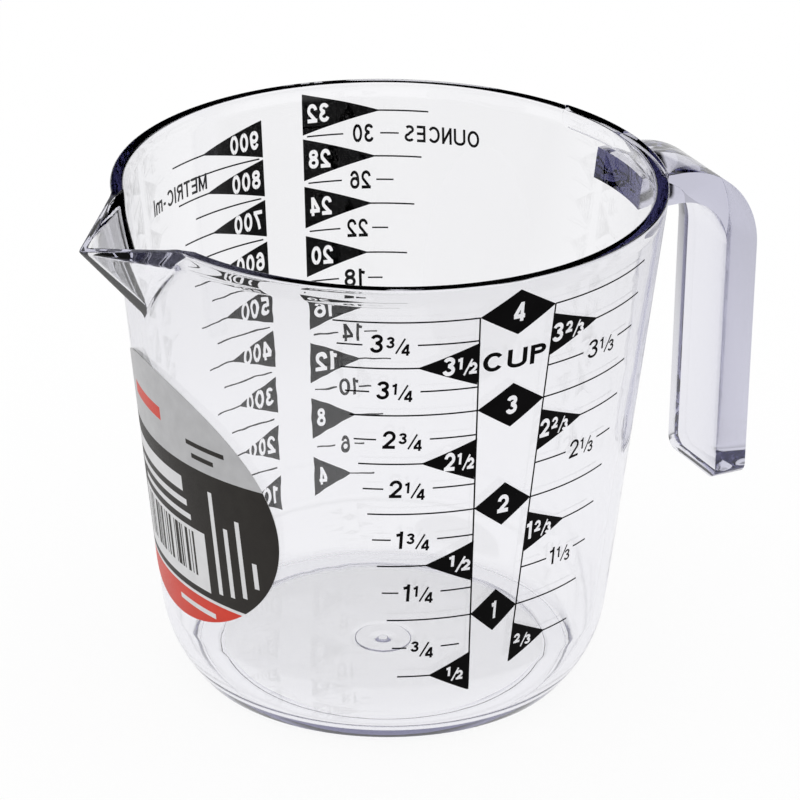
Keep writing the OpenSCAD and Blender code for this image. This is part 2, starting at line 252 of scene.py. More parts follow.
def moulding_rows(azimuth):
    """The moulding's closed profile, as rows of (radius, height), each an array over the columns."""
    one = np.ones_like(azimuth)
    rows = []

    def ring(points):
        rows.extend((r * one, z * one) for r, z in points)

    # Under the floor, from the gate's nub out to the foot ring and up the rounded corner
    flat_in = FOOT_R - FOOT_FLAT_W
    slope_in = flat_in - FOOT_SLOPE_W
    disc_z = HOLLOW_D - GATE_H
    ring([(0.4, disc_z - NUB_H), (NUB_R - 0.15, disc_z - NUB_H), (NUB_R, disc_z - NUB_H + 0.12)])
    ring([(NUB_R, disc_z - 0.08), (NUB_R + 0.15, disc_z), (3.5, disc_z), (GATE_R - 0.12, disc_z)])
    ring([(GATE_R, disc_z + 0.1), (GATE_R + 0.05, HOLLOW_D - 0.06), (GATE_R + 0.25, HOLLOW_D)])
    ring([(r, HOLLOW_D) for r in np.linspace(8, slope_in - 0.6, 12)])
    ring([(slope_in, HOLLOW_D - 0.05), (slope_in + 0.5 * FOOT_SLOPE_W, HOLLOW_D / 2)])
    ring([(flat_in - 0.3, 0.1), (flat_in + 0.3, 0)])
    ring([(r, 0) for r in np.linspace(flat_in + 1.2, FOOT_R - 0.35, 4)])
    ring(arc_points((FOOT_R - FOOT_EDGE_R, FOOT_EDGE_R), FOOT_EDGE_R, -math.pi / 2, 0, 5))
    ring([(FOOT_R, FOOT_H - 0.3), (FOOT_R + 0.08, FOOT_H - 0.08), (FOOT_R + 0.3, FOOT_H)])
    heel_angle = math.atan2(FOOT_H - CORNER_C[1], HEEL_R - CORNER_C[0])
    ring(arc_points(CORNER_C, CORNER_R, heel_angle + 0.004, -WALL_LEAN, 34))

    def wall_row(radius, z, top):
        """A row on the wall, with the upper rows closer together where the rim's top is lower."""
        share = max(z - TOP_ROWS_Z, 0) / (CUP_H - TOP_ROWS_Z)
        z_row = np.where(z > TOP_ROWS_Z, TOP_ROWS_Z + share * (top - TOP_ROWS_Z), z)
        rows.append((radius(azimuth, z_row), z_row))

    # The outside, with close rows at the pad's lower edge
    pad_low = CUP_H - PAD_DROP
    outer_top = top_z(azimuth, outer_r(azimuth, FOLD_Z + 0.5 * one))
    for z in np.concatenate([
        np.arange(TANGENT_Z + 2, TOP_ROWS_Z - 1, LOW_ROW_STEP),
        np.arange(TOP_ROWS_Z, pad_low - 0.6, TOP_ROW_STEP),
        np.arange(pad_low - 0.4, pad_low + 0.35, 0.11),
        np.arange(pad_low + 0.6, CUP_H - RIM_OUTER_EDGE_R - 0.2, 0.42),
    ]):
        wall_row(outer_r, z, outer_top)

    # The rim: outer edge, top face and inner edge
    from_spout = np.abs(azimuth - np.pi)
    on_spout = np.clip((SPOUT_HALF_ANGLE - from_spout) / SPOUT_EDGE_FADE + 0.5, 0, 1)
    edge_round = RIM_OUTER_EDGE_R + (SPOUT_TOP_EDGE_R - RIM_OUTER_EDGE_R) * on_spout
    outer_edge = outer_r(azimuth, outer_top - edge_round)
    edge_z = top_z(azimuth, outer_edge - edge_round)
    for a in np.linspace(0, math.pi / 2, 9):
        r = outer_edge - edge_round * (1 - math.cos(a))
        rows.append((r, edge_z - edge_round * (1 - math.sin(a))))
    inner_top = top_z(azimuth, inner_r(azimuth, FOLD_Z + 2 * one))
    inner_round = RIM_INNER_EDGE_R + (SPOUT_TOP_EDGE_R - RIM_INNER_EDGE_R) * on_spout
    inner_edge = inner_r(azimuth, inner_top - inner_round)
    for t in (0.25, 0.5, 0.75):
        r = (outer_edge - edge_round) * (1 - t) + (inner_edge + inner_round) * t
        rows.append((r, top_z(azimuth, r)))
    edge_z = top_z(azimuth, inner_edge + inner_round)
    for a in np.linspace(math.pi / 2, 0, 6):
        r = inner_edge + inner_round * (1 - math.cos(a))
        rows.append((r, edge_z - inner_round * (1 - math.sin(a))))

    # The inside, with close rows on the bead, down to the floor
    bead_low = CUP_H - RIM_BEAD_H
    for z in np.concatenate([
        np.arange(CUP_H - RIM_INNER_EDGE_R - 0.2, bead_low - 0.3, -0.2),
        np.arange(bead_low - 0.7, TOP_ROWS_Z, -TOP_ROW_STEP),
        np.arange(TOP_ROWS_Z - 1, INNER_TANGENT_Z + 1.5, -LOW_ROW_STEP),
    ]):
        wall_row(inner_r, z, inner_top)

    fillet_c_r = CORNER_C[0] + math.sqrt(
        (INNER_R - FLOOR_FILLET_R) ** 2 - (CORNER_C[1] - FLOOR_Z - FLOOR_FILLET_R) ** 2
    )
    fillet_c = (fillet_c_r, FLOOR_Z + FLOOR_FILLET_R)
    fillet_angle = math.atan2(fillet_c[1] - CORNER_C[1], fillet_c[0] - CORNER_C[0])
    ring(arc_points(CORNER_C, INNER_R, -WALL_LEAN, fillet_angle, 30))
    ring(arc_points(fillet_c, FLOOR_FILLET_R, fillet_angle, -math.pi / 2, 9)[1:])
    ring([(r, FLOOR_Z) for r in np.linspace(fillet_c_r - 1.5, 1.5, 14)])
    return rows


def mesh_object(name, verts, faces):
    """An object from points in metres and faces."""
    mesh = bpy.data.meshes.new(name)
    mesh.from_pydata([tuple(v) for v in verts], [], faces)
    mesh.update()
    obj = bpy.data.objects.new(name, mesh)
    bpy.context.scene.collection.objects.link(obj)
    return obj


def moulding_body():
    """The cup with its spout and rim pad, one closed skin."""
    azimuth = columns()
    rows = moulding_rows(azimuth)
    count = len(azimuth)
    verts = []
    for r, z in rows:
        verts.extend(zip(r * np.cos(azimuth) * MM, r * np.sin(azimuth) * MM, z * MM))
    faces = []
    for i in range(len(rows) - 1):
        a, b = i * count, (i + 1) * count
        for j in range(count):
            k = (j + 1) % count
            faces.append((a + j, a + k, b + k, b + j))
    under, floor = len(verts), len(verts) + 1
    verts.append((0, 0, rows[0][1][0] * MM))
    verts.append((0, 0, FLOOR_Z * MM))
    last = (len(rows) - 1) * count
    for j in range(count):
        k = (j + 1) % count
        faces.append((under, k, j))
        faces.append((floor, last + j, last + k))
    return mesh_object("jug_moulding", verts, faces)


def handle_bar():
    """The bar of the handle, from inside the wall round the bend to the grip's free end."""
    start_x = RIM_R - ARM_SINK
    under_start_x = RIM_R - ARM_UNDER_SINK
    inner_x = HANDLE_X - GRIP_T
    arm_under = ARM_TOP - ARM_T
    outer_c = (HANDLE_X - BEND_OUTER_R, ARM_TOP - BEND_OUTER_R)
    inner_c = (inner_x - BEND_INNER_R, arm_under - BEND_INNER_R)
    outer = [(x, ARM_TOP) for x in np.linspace(start_x, outer_c[0], 4)[:-1]]
    inner = [(x, arm_under) for x in np.linspace(under_start_x, inner_c[0], 4)[:-1]]
    outer += arc_points(outer_c, BEND_OUTER_R, math.pi / 2, 0, BEND_STEPS)
    inner += arc_points(inner_c, BEND_INNER_R, math.pi / 2, 0, BEND_STEPS)
    corner_z = GRIP_END + GRIP_CORNER_R
    straight = np.linspace(0, 1, 12)[1:]
    outer += [(HANDLE_X, outer_c[1] + t * (corner_z - outer_c[1])) for t in straight]
    inner += [(inner_x, inner_c[1] + t * (corner_z - inner_c[1])) for t in straight]
    half_w = [HANDLE_HALF_W] * len(outer)
    for a in np.linspace(0, math.pi / 2, 9)[1:]:
        z = corner_z - GRIP_CORNER_R * math.sin(a)
        outer.append((HANDLE_X, z))
        inner.append((inner_x, z))
        half_w.append(HANDLE_HALF_W - GRIP_CORNER_R * (1 - math.cos(a)))
    verts, faces = [], []
    for (ox, oz), (ix, iz), w in zip(outer, inner, half_w):
        verts += [(ox * MM, w * MM, oz * MM), (ox * MM, -w * MM, oz * MM)]
        verts += [(ix * MM, -w * MM, iz * MM), (ix * MM, w * MM, iz * MM)]
    for i in range(len(outer) - 1):
        a, b = 4 * i, 4 * i + 4
        for j in range(4):
            k = (j + 1) % 4
            faces.append((a + j, b + j, b + k, a + k))
    end = 4 * (len(outer) - 1)
    faces += [(0, 1, 2, 3), (end + 3, end + 2, end + 1, end)]
    bar = mesh_object("handle_bar", verts, faces)
    bevel = bar.modifiers.new("edges", "BEVEL")
    bevel.width = HANDLE_EDGE_R * MM
    bevel.segments = 4
    bevel.limit_method = "ANGLE"
    bevel.angle_limit = math.radians(40)
    apply_modifiers(bar)
    return bar


def apply_modifiers(obj):
    """Put what an object's modifiers make in place of its mesh."""
    bpy.context.view_layer.update()
    evaluated = obj.evaluated_get(bpy.context.evaluated_depsgraph_get())
    mesh = bpy.data.meshes.new_from_object(evaluated)
    obj.modifiers.clear()
    old = obj.data
    obj.data = mesh
    bpy.data.meshes.remove(old)


def fix_normals(obj):
    bm = bmesh.new()
    bm.from_mesh(obj.data)
    bmesh.ops.recalc_face_normals(bm, faces=bm.faces)
    bm.to_mesh(obj.data)
    bm.free()


def smooth_shade(obj, sharp_angle=36):
    """Smooth shading, apart from edges sharper than an angle."""
    bm = bmesh.new()
    bm.from_mesh(obj.data)
    for face in bm.faces:
        face.smooth = True
    limit = math.radians(sharp_angle)
    for edge in bm.edges:
        edge.smooth = edge.is_manifold and edge.calc_face_angle(0) < limit
    bm.to_mesh(obj.data)
    bm.free()


def cut_shapes(keep, drop, islands, step):
    """Triangles of the shapes in keep less those in drop, with the islands, cut every step along the wall."""
    points, faces, edges = [], [], []
    first_drop, first_island = len(keep), len(keep) + len(drop)
    for polygon in [*keep, *drop, *islands]:
        start = len(points)
        points += [Vector(p) for p in polygon]
        faces.append(list(range(start, len(points))))
    places = np.array([tuple(p) for p in points])
    low, high = places.min(0) - 1, places.max(0) + 1
    for arc in np.arange(low[0], high[0], step):
        edges.append((len(points), len(points) + 1))
        points += [Vector((arc, low[1])), Vector((arc, high[1]))]
    for level in np.arange(low[1], TANGENT_Z + step, step):
        edges.append((len(points), len(points) + 1))
        points += [Vector((low[0], level)), Vector((high[0], level))]
    found = delaunay_2d_cdt(points, edges, faces, 0, 1e-5, True)
    triangles = []
    for face, owners in zip(found[2], found[5]):
        dropped = any(first_drop <= owner < first_island for owner in owners)
        if owners and (max(owners) >= first_island or not dropped):
            triangles.append(face)
    return found[0], triangles


def counter_clockwise(polygon):
    twice_area = sum(a[0] * b[1] - b[0] * a[1] for a, b in zip(polygon, [*polygon[1:], polygon[0]]))
    return polygon if twice_area > 0 else polygon[::-1]


def wall_print(
    name, middle, keep, drop=(), islands=(), inside=-0.03, outside=0.05, nodes=(), slot="black_ink", step=1.6
):
    """A thin printed skin, wrapped on the wall about the azimuth of its middle."""
    keep, drop, islands = ([counter_clockwise(p) for p in group] for group in (keep, drop, islands))
    flat, triangles = cut_shapes(keep, drop, islands, step)
    used = sorted({i for t in triangles for i in t})
    index = {old: new for new, old in enumerate(used)}
    arc = np.array([flat[i][0] for i in used])
    z = np.array([flat[i][1] for i in used])
    azimuth = math.radians(middle) + arc / wall_r(z)
    verts = []
    for offset in (inside, outside):
        r = wall_r(z) + offset
        verts.extend(zip(r * np.cos(azimuth) * MM, r * np.sin(azimuth) * MM, z * MM))
    count = len(used)
    faces, border = [], {}
    for t in triangles:
        a, b, c = (index[i] for i in t)
        faces.append((a + count, b + count, c + count))
        faces.append((c, b, a))
        for edge in ((a, b), (b, c), (c, a)):
            border[edge] = True
    faces += [(a, b, b + count, a + count) for a, b in border if (b, a) not in border]
    obj = mesh_object(name, verts, faces)
    smooth_shade(obj)
    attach(obj, "root")
    if nodes:
        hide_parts(*nodes)
    return obj


def bow(cx, cy, rx, ry, start, end, count=16):
    """Points on an elliptic arc, with its angles in degrees."""
    t = np.radians(np.linspace(start, end, count))
    return list(zip(cx + rx * np.cos(t), cy + ry * np.sin(t)))


def stroke(path, width):
    """The outline of a line of a width along a path, with square ends."""
    path = np.array(path, float)
    step = np.diff(path, axis=0)
    step /= np.linalg.norm(step, axis=1)[:, None]
    normal = np.stack([-step[:, 1], step[:, 0]], 1)
    corner = np.vstack([normal[:1], normal[:-1] + normal[1:], normal[-1:]])
    corner /= np.linalg.norm(corner, axis=1)[:, None]
    sharp = np.maximum(np.sum(corner[1:-1] * normal[1:], axis=1), 0.5)
    corner[1:-1] /= sharp[:, None]
    left, right = path + corner * width / 2, path - corner * width / 2
    return [tuple(p) for p in np.vstack([left, right[::-1]])]


def glyph(char, t):
    """Width and centre lines of a character one unit high, drawn with strokes of thickness t."""
    w = 0.50 + t
    x0, x1, y0, y1, m = t / 2, w - t / 2, t / 2, 1 - t / 2, w / 2
    rx = (x1 - x0) / 2
    if char == "0":
        ry = (y1 - y0) / 2
        return w, [bow(m, 0.5, rx, ry, 90, 270), bow(m, 0.5, rx, ry, -90, 90)]
    if char == "1":
        return 0.22 + t, [[(0.18 + x0, 0), (0.18 + x0, 1)], [(0.0, 0.77), (0.18 + x0, 0.83)]]
    if char == "2":
        bowl = bow(m, y1 - 0.25, rx, 0.25, 178, -32, 18)
        return w, [[*bowl, (x0 + 0.02, y0)], [(0.01, y0), (w, y0)]]
    if char == "3":
        top = bow(m, 0.755 - t / 8, rx * 0.9, 0.245 - t * 3 / 8, 170, -80, 16)
        low = bow(m, 0.275 + t / 8, rx, 0.275 - t * 3 / 8, 82, -170, 18)
        return w, [top, low, [(m - 0.06, 0.53), (m + 0.05, 0.53)]]
    if char == "4":
        stem = w * 0.72
        slope = [(stem - t * 0.1, 1 - t * 0.3), (x0 * 0.7, 0.3)]
        return w, [[(stem, 0), (stem, 1)], slope, [(0.01, 0.27), (w, 0.27)]]
    if char == "5":
        bowl = bow(m - 0.01, 0.33, rx, 0.33 - t / 2, 128, -165, 18)
        return w, [[(w - 0.04, y1), (x0 + 0.05, y1), (x0 + 0.01, 0.46)], bowl]
    if char == "6":
        ring = [bow(m, 0.33, rx, 0.33 - t / 2, 90, 270), bow(m, 0.33, rx, 0.33 - t / 2, -90, 90)]
        return w, [*ring, [(x0, 0.36), *bow(m + 0.02, 0.55, rx, y1 - 0.55, 170, 25, 12)]]
    if char == "7":
        return w, [[(0.0, y1), (w, y1)], [(x1, y1), (w * 0.5, 0.42), (w * 0.36, 0)]]
    if char == "8":
        upper = [bow(m, 0.755 - t / 8, rx * 0.88, 0.245 - t * 3 / 8, a, a + 180) for a in (90, 270)]
        lower = [bow(m, 0.28 + t / 8, rx, 0.28 - t * 3 / 8, a, a + 180) for a in (90, 270)]
        return w, [*upper, *lower]
    if char == "9":
        width, lines = glyph("6", t)
        return width, [[(width - x, 1 - y) for x, y in line] for line in lines]
    if char == "/":
        return 0.28, [[(0.0, -0.03), (0.43, 0.79)]]
    if char == "-":
        return 0.34, [[(0.03, 0.36), (0.31, 0.36)]]
    if char in "CO":
        wide = w + 0.16
        rx, ry = wide / 2 - t / 2, (y1 - y0) / 2
        if char == "O":
            return wide, [bow(wide / 2, 0.5, rx, ry, 90, 270), bow(wide / 2, 0.5, rx, ry, -90, 90)]
        return wide, [bow(wide / 2, 0.5, rx, ry, 38, 322, 24)]
    if char == "U":
        wide = w + 0.14
        turn = bow(wide / 2, 0.3, wide / 2 - t / 2, 0.3 - t / 2, 180, 360, 14)
        return wide, [[(x0, 1), *turn, (wide - t / 2, 1)]]
    if char in "PR":
        bowl = bow(w * 0.6, 0.74, w * 0.4 - t / 2, y1 - 0.74, 90, -90, 12)
        lines = [[(x0, 0), (x0, 1)], [(x0, y1), *bowl, (x0, 1.48 - y1)]]
        if char == "R":
            lines.append([(w * 0.55, 1.48 - y1), (x1, 0)])
        return w, lines
    if char == "E":
        return w - 0.06, [[(x0, 0), (x0, 1)], *[[(x0, y), (w - 0.08, y)] for y in (y0, 0.51, y1)]]
    if char == "N":
        return w, [[(x0, 0), (x0, 1)], [(x0, y1), (x1, y0)], [(x1, 0), (x1, 1)]]
    if char == "M":
        wide = w + 0.14
        far = wide - x0
        return wide, [[(x0, 0), (x0, 1)], [(x0, y1), (wide / 2, 0.12), (far, y1)], [(far, 0), (far, 1)]]
    if char == "T":
        return w, [[(0, y1), (w, y1)], [(m, 0), (m, 1)]]
    if char == "I":
        return t, [[(x0, 0), (x0, 1)]]
    if char == "S":
        upper = bow(m, 0.745, rx * 0.92, y1 - 0.745, 35, 250, 16)
        lower = bow(m, 0.265, rx, 0.265 - y0, 70, -150, 16)
        return w, [[*upper, *lower]]
    if char == "l":
        return t, [[(x0, 0), (x0, 1)]]
    if char == "m":
        wide, top = w + 0.26, 0.74
        reach = (wide - t) / 4
        humps = []
        for i in (1, 3):
            hump = bow(x0 + i * reach, top - reach, reach, reach - t / 2, 180, 0, 10)
            humps.append([*hump, (x0 + (i + 1) * reach, 0)])
        return wide, [[(x0, 0), (x0, top)], *humps]
    return 0.3, []


# Text: the size and weight of small digits and slashes, and the gaps, as shares of the height
SMALL = 0.62
SMALL_WEIGHT = 0.74
SLASH_WEIGHT = 0.55
SLASH_GAP = 0.1
CHAR_GAP = 0.15
TEXT_STRETCH = 0.92


def text_shapes(text, left, right, base, height, weight, lift=0.26, sink=0.14):
    """Outlines of a text between two arc places, or from the left one on at its own width.

    A caret raises one small digit, an underscore lowers one. Weight, lift and sink are shares of the height.
    """
    placed, x, before = [], 0.0, ""
    raised = lowered = False
    for char in text:
        if char in "^_":
            raised, lowered = char == "^", char == "_"
            continue
        small = raised or lowered
        scale = SMALL if small else 1
        t = weight * (SMALL_WEIGHT if small else SLASH_WEIGHT if char == "/" else 1) / scale
        width, lines = glyph(char, t)
        if before and before != "/":
            x += SLASH_GAP if char == "/" else CHAR_GAP
        rise = lift * raised - sink * lowered
        for line in lines:
            placed.append([(x + px * scale, rise + py * scale) for px, py in stroke(line, t)])
        x += width * scale
        before = char
        raised = lowered = False
    stretch = TEXT_STRETCH * height if right is None else (right - left) / x
    return [[(left + px * stretch, base + py * height) for px, py in p] for p in placed]


# Print on the wall
CUPS = 4
TOP_OUNCES = 8 * CUPS
TOP_METRIC = 900
LINE_W = 0.35
FLAG_H = 10.2
METRIC_FLAG_H = 9
CUP_SCALE_AZ = 270
OUNCE_SCALE_AZ = 83.2
METRIC_SCALE_AZ = 93.2
DIAMOND_HALF_H = 5.4
TUCK = 3 * LINE_W
NUMERAL_H = 4.45
NUMERAL_WEIGHT = 0.17
THIN_NUMERAL_WEIGHT = 0.13
NUMERAL_GAP = 1.6
UPPER_QUARTER_RAISE = 0.4
LOW_QUARTER_LINE = 7.8
WHITE_NUMERAL_H = 4.6
LOW_WHITE_NUMERAL_H = 4
WHITE_WEIGHT = 0.21
DIAMOND_WEIGHT = 0.23
RAISED_WHITE = 0.3
CUP_WORD = {"left": -7.6, "right": 7.5, "base": 97, "height": 4.6, "weight": 0.19}
OUNCES_WORD = {"left": -43, "right": -24.7, "height": 4, "weight": 0.16}
METRIC_WORD = {"left": 16.8, "right": 38.3, "base": 98, "height": 3.8, "weight": 0.16}

# On the cup scale, shares of a line's length at which texts and ticks start and end
QUARTER_TEXT = 0.82
QUARTER_TICK = 0.86
THIRD_LINE = 0.5
THIRD_TEXT = (0.54, 0.79)
THIRD_TICK = 0.83

# On the other two, shares of a flag's length
FLAG_LINE = 1.6
EVEN_OUNCE_LINE = 0.54
EVEN_OUNCE_TEXT = 0.8
EVEN_OUNCE_TICK = (1.02, 1.26)
HALF_METRIC_LINE = 1.28

# Widths of a 1 and of the other figures in the diamonds, and of one and two figures on the ounce scale
DIAMOND_FIGURE_W = (1.2, 2.7)
WHITE_OUNCE_W = (2.2, 5.4)
BLACK_OUNCE_W = (2.4, 5)
WHITE_OUNCE_GAP = 1.3
METRIC_FIGURES = (1, 9)

# White fractions on the cup scale's flags: text, and its near and far ends from the column's edge
HALF_TEXTS = {
    0.5: ("^1/_2", 1.3, 5.2),
    1.5: ("^1/_2", 0.4, 5.3),
    2.5: ("2^1/_2", 0.3, 7.0),
    3.5: ("3^1/_2", 0.3, 7.9),
}
THIRD_TEXTS = {
    0: ("^2/_3", 0.7, 5.5),
    1: ("1^2/_3", 0.2, 7.2),
    2: ("2^2/_3", 0.2, 8.2),
    3: ("3^2/_3", 0.2, 9.2),
}

# Volumes
ML_PER_CUP = 236.588
ML_PER_OUNCE = 29.5735
MM3_PER_ML = 1000


def volume_to(level):
    """Volume inside the cup up to a height, summed in thin slices."""
    z = np.linspace(FLOOR_Z, level, 400)
    arc = CORNER_C[0] + np.sqrt(np.maximum(INNER_R**2 - (z - CORNER_C[1]) ** 2, 0))
    r = np.where(z > INNER_TANGENT_Z, inner_cone_r(z), arc)
    area = math.pi * r * r
    return float(np.sum((area[1:] + area[:-1]) / 2 * np.diff(z)))


def ml_z(ml):
    """Height of the liquid's surface for a number of millilitres."""
    low, high = FLOOR_Z, 2 * CUP_H
    for _ in range(30):
        middle = (low + high) / 2
        if volume_to(middle) > MM3_PER_ML * ml:
            high = middle
        else:
            low = middle
    return low


def cup_z(cups):
    return ml_z(cups * ML_PER_CUP)


def ounce_z(ounces):
    return ml_z(ounces * ML_PER_OUNCE)


LOW_Z = cup_z(0.5)


# Widths on the wall at the lowest mark, and what they gain for each millimetre of height
COLUMN_HALF = (5, 0.0455)
CUP_FLAG = (9.3, 0.0513)
CUP_LINE = (21.2, 0.215)
OUNCE_FLAG = (9.7, 0.1045)
METRIC_FLAG = (9.6, 0.0975)


def width_at(width, z):
    """A width at a height, from its value at the lowest mark and its gain."""
    start, gain = width
    return start + gain * (z - LOW_Z)


def flag(base, tip, z, height):
    """A triangle from its base's arc place to its tip's."""
    return [(base, z - height / 2), (tip, z), (base, z + height / 2)]


def centred(text, left, right, z, height, weight, lift=0.26, sink=0.14):
    """A text whose figures stand evenly above and below a height."""
    return text_shapes(text, left, right, z - height / 2, height, weight, lift, sink)


def level_line(a, b, z):
    """A thin line between two arc places."""
    low, high = min(a, b), max(a, b)
    return [(low, z - LINE_W / 2), (high, z - LINE_W / 2), (high, z + LINE_W / 2), (low, z + LINE_W / 2)]


def ink_prints(middle, inked):
    """Printed skins by the CAD node that each covers, from what is inked and what is left out of it."""
    return [
        wall_print(f"{node}_ink", middle, keep, drop, nodes=[node]) for node, (keep, drop) in inked.items()
    ]


def cup_scale_column(top):
    """Diamonds and the column's two edges, and the white digits in the diamonds."""
    shapes, digits = [], []
    for n in range(1, CUPS + 1):
        z = cup_z(n)
        w = width_at(COLUMN_HALF, z)
        shapes.append([(-w, z), (0, z - DIAMOND_HALF_H), (w, z), (0, z + DIAMOND_HALF_H)])
        half = DIAMOND_FIGURE_W[n > 1] / 2
        digits += centred(str(n), -half, half, z, WHITE_NUMERAL_H, DIAMOND_WEIGHT)
    for side, low in ((-1, cup_z(0.5) - FLAG_H / 2), (1, cup_z(2 / 3) - FLAG_H / 2)):
        foot, head, half = side * width_at(COLUMN_HALF, low), side * width_at(COLUMN_HALF, top), LINE_W / 2
        shapes.append([(foot - half, low), (foot + half, low), (head + half, top), (head - half, top)])
    return shapes, digits


def cup_scale_flags(texts, side, rest):
    """Flags on one side of the column, at each key's cups plus a rest, with white fractions and lines."""
    flags, digits, lines = [], [], []
    for n, (text, near, far) in texts.items():
        z = cup_z(n + rest)
        w = width_at(COLUMN_HALF, z)
        end = w + width_at(CUP_FLAG, z)
        height = LOW_WHITE_NUMERAL_H if n < 1 else WHITE_NUMERAL_H
        left, right = sorted((side * (w + near), side * (w + far)))
        flags.append(flag(side * w, side * end, z, FLAG_H))
        digits += centred(text, left, right, z, height, WHITE_WEIGHT, RAISED_WHITE, 0)
        lines.append(level_line(side * (end - TUCK), side * width_at(CUP_LINE, z), z))
    return flags, digits, lines


def cup_scale():
    """The diamonds, column, flags, lines, numerals and word of the cup scale."""
    diamonds, digits = cup_scale_column(cup_z(CUPS))
    half_flags, half_digits, half_lines = cup_scale_flags(HALF_TEXTS, -1, 0)
    third_flags, third_digits, third_lines = cup_scale_flags(THIRD_TEXTS, 1, 2 / 3)
    lines, numerals = [*half_lines, *third_lines], []
    for n in range(1, CUPS + 1):
        z = cup_z(n)
        start, end = width_at(COLUMN_HALF, z), width_at(CUP_LINE, z)
        lines += [level_line(start, end, z), level_line(-start, -end, z)]
    for quarters in range(3, 4 * CUPS, 2):
        whole, part = divmod(quarters, 4)
        z = cup_z(quarters / 4)
        reach = width_at(CUP_LINE, z)
        base = z - NUMERAL_H / 2 + (UPPER_QUARTER_RAISE if whole >= 3 else 0)
        text = f"{whole or ''}^{part}/_4"
        shapes = text_shapes(text, -QUARTER_TEXT * reach, None, base, NUMERAL_H, NUMERAL_WEIGHT)
        numerals += shapes
        text_end = max(place[0] for shape in shapes for place in shape)
        line_end = -width_at(COLUMN_HALF, z) if whole else -LOW_QUARTER_LINE
        lines.append(level_line(line_end, text_end + NUMERAL_GAP, z))
        lines.append(level_line(-QUARTER_TICK * reach, -reach, z))
    for n in range(1, CUPS):
        z = cup_z(n + 1 / 3)
        reach = width_at(CUP_LINE, z)
        lines.append(level_line(width_at(COLUMN_HALF, z), THIRD_LINE * reach, z))
        lines.append(level_line(THIRD_TICK * reach, reach, z))
        left, right = (share * reach for share in THIRD_TEXT)
        numerals += centred(f"{n}^1/_3", left, right, z, NUMERAL_H, THIN_NUMERAL_WEIGHT)
    numerals += text_shapes("CUP", **CUP_WORD)
    inked = {
        "cup_scale_column": (diamonds, digits),
        "cup_scale_half_flags": (half_flags, half_digits + diamonds),
        "cup_scale_third_flags": (third_flags, third_digits + diamonds),
        "cup_scale_lines": (lines, diamonds + half_flags + third_flags),
    }
    return [*ink_prints(CUP_SCALE_AZ, inked), wall_print("cup_scale_numerals", CUP_SCALE_AZ, numerals)]


def ounce_scale():
    """The flags, lines, figures and word of the ounce scale, to the left of its base as seen from outside."""
    flags, digits, lines, numerals = [], [], [], []
    for n in range(4, TOP_OUNCES + 1, 4):
        z = ounce_z(n)
        length = width_at(OUNCE_FLAG, z)
        flags.append(flag(0, -length, z, FLAG_H))
        right = -WHITE_OUNCE_GAP
        left = right - WHITE_OUNCE_W[n >= 10]
        digits += centred(str(n), left, right, z, WHITE_NUMERAL_H, WHITE_WEIGHT)
        lines.append(level_line(TUCK - length, -FLAG_LINE * length, z))
    for n in range(6, TOP_OUNCES, 4):
        z = ounce_z(n)
        length = width_at(OUNCE_FLAG, z)
        lines.append(level_line(-TUCK, -EVEN_OUNCE_LINE * length, z))
        lines.append(level_line(*(-share * length for share in EVEN_OUNCE_TICK), z))
        half = BLACK_OUNCE_W[n >= 10] / 2
        middle = -EVEN_OUNCE_TEXT * length
        numerals += centred(str(n), middle - half, middle + half, z, NUMERAL_H, NUMERAL_WEIGHT)
    top = ounce_z(TOP_OUNCES - 2)
    numerals += text_shapes("OUNCES", base=top - OUNCES_WORD["height"] / 2, **OUNCES_WORD)
    inked = {"ounce_scale_flags": (flags, digits), "ounce_scale_lines": (lines, flags)}
    return [*ink_prints(OUNCE_SCALE_AZ, inked), wall_print("ounce_scale_numerals", OUNCE_SCALE_AZ, numerals)]


def metric_scale():
    """The flags, lines, figures and word of the metric scale, to the right of its base from outside."""
    flags, digits, lines = [], [], []
    for n in range(100, TOP_METRIC + 1, 100):
        z = ml_z(n)
        length = width_at(METRIC_FLAG, z)
        flags.append(flag(0, length, z, METRIC_FLAG_H))
        digits += centred(str(n), *METRIC_FIGURES, z, WHITE_NUMERAL_H, WHITE_WEIGHT)
        lines.append(level_line(length - TUCK, FLAG_LINE * length, z))
    for n in range(150, TOP_METRIC, 100):
        z = ml_z(n)
        lines.append(level_line(TUCK, HALF_METRIC_LINE * width_at(METRIC_FLAG, z), z))
    word = text_shapes("METRIC-ml", **METRIC_WORD)
    inked = {"metric_scale_flags": (flags, digits), "metric_scale_lines": (lines, flags)}
    return [*ink_prints(METRIC_SCALE_AZ, inked), wall_print("metric_scale_word", METRIC_SCALE_AZ, word)]


# Sticker under the spout
LABEL_HALF_W = 37
LABEL_HALF_H = 30.7
LABEL_Z = 53.3
SILVER_Z = 64.5
WHITE_LINE_Z = 31
WHITE_LINE_W = 0.8
PANEL_HALF_W = 15.8
PANEL_Z = 33
PANEL_H = 15.2
SAME_PLACE = 1e-4
BAR_WIDTHS = (0.35, 0.7, 1.05, 0.35, 1.4, 0.7, 0.35, 1.05)
PAPER_T = 0.13
PRINT_TOP = 0.19


def box_shape(x0, x1, z0, z1):
    """A rectangle from arc place x0 to x1 and height z0 to z1."""
    return [(x0, z0), (x1, z0), (x1, z1), (x0, z1)]


def oval():
    t = np.radians(np.arange(0, 360, 3))
    return list(zip(LABEL_HALF_W * np.cos(t), LABEL_Z + LABEL_HALF_H * np.sin(t)))


